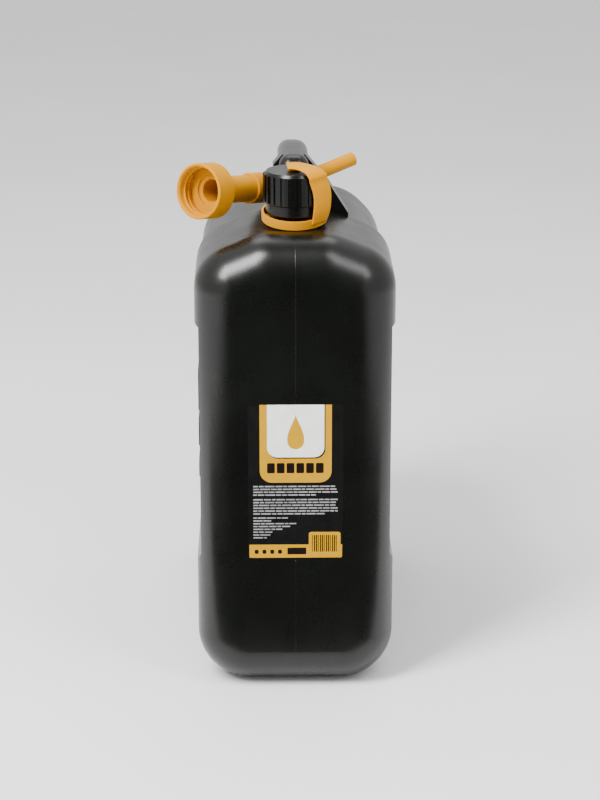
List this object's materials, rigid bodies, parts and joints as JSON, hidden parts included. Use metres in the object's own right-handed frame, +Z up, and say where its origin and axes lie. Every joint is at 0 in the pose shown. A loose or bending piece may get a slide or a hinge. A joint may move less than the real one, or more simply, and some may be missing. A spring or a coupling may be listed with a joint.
{
  "type": "jerry can",
  "caption": "Tall blow-moulded plastic fuel can with a carrying handle, a screw cap on a retaining strap and a bent pouring spout stowed through the handle.",
  "frame": {"origin": "centre of the tank's flat base", "axes": "+Z up, -Y towards the neck end, +X to the right when facing the neck end"},
  "size_m": [0.1946, 0.3853, 0.4763],
  "materials": {
    "tank_plastic": "satin blow-moulded polyethylene",
    "cap_plastic": "semi-gloss injection-moulded polyethylene",
    "retainer_plastic": "satin flexible polyethylene",
    "spout_plastic": "satin polyethylene",
    "seal_rubber": "matt",
    "label_film": "printed glossy film"
  },
  "bodies": {
    "can": {"can_body": "tank_plastic", "front_label": "label_film"},
    "retainer": {"neck_ring": "retainer_plastic", "cap_strap": "retainer_plastic"},
    "riser": {"strap_button": "retainer_plastic"},
    "cap": {"screw_cap": "cap_plastic", "cap_gasket": "seal_rubber"},
    "nozzle": {"spout_nozzle": "spout_plastic"},
    "collar": {"spout_collar": "spout_plastic", "spout_gasket": "spout_plastic"}
  },
  "joints": [
    {"name": "ring_swivel", "type": "hinge", "parent": "can", "child": "retainer", "pos_m": [0, -0.1235, 0.427], "axis": [0, 0, 1], "range_deg": [-20, 20]},
    {"name": "cap_rise", "type": "slide", "parent": "retainer", "child": "riser", "axis": [0, 0, 1], "range_m": [0, 0.0126], "deforming": ["cap_strap"]},
    {"name": "cap_unscrew", "type": "hinge", "parent": "riser", "child": "cap", "pos_m": [0, -0.1235, 0.45], "axis": [0, 0, 1], "range_deg": [0, 900]},
    {"name": "spout_pull", "type": "slide", "parent": "can", "child": "nozzle", "axis": [-0.8303, -0.5202, -0.2001], "range_m": [0, 0.18]},
    {"name": "collar_turn", "type": "hinge", "parent": "nozzle", "child": "collar", "pos_m": [-0.0857, -0.1245, 0.4516], "axis": [0.6063, 0.7835, -0.1361], "continuous": true}
  ],
  "couplings": [
    {"joint": "cap_rise", "follows": "cap_unscrew", "m_per_rad": 0.00079577}
  ]
}
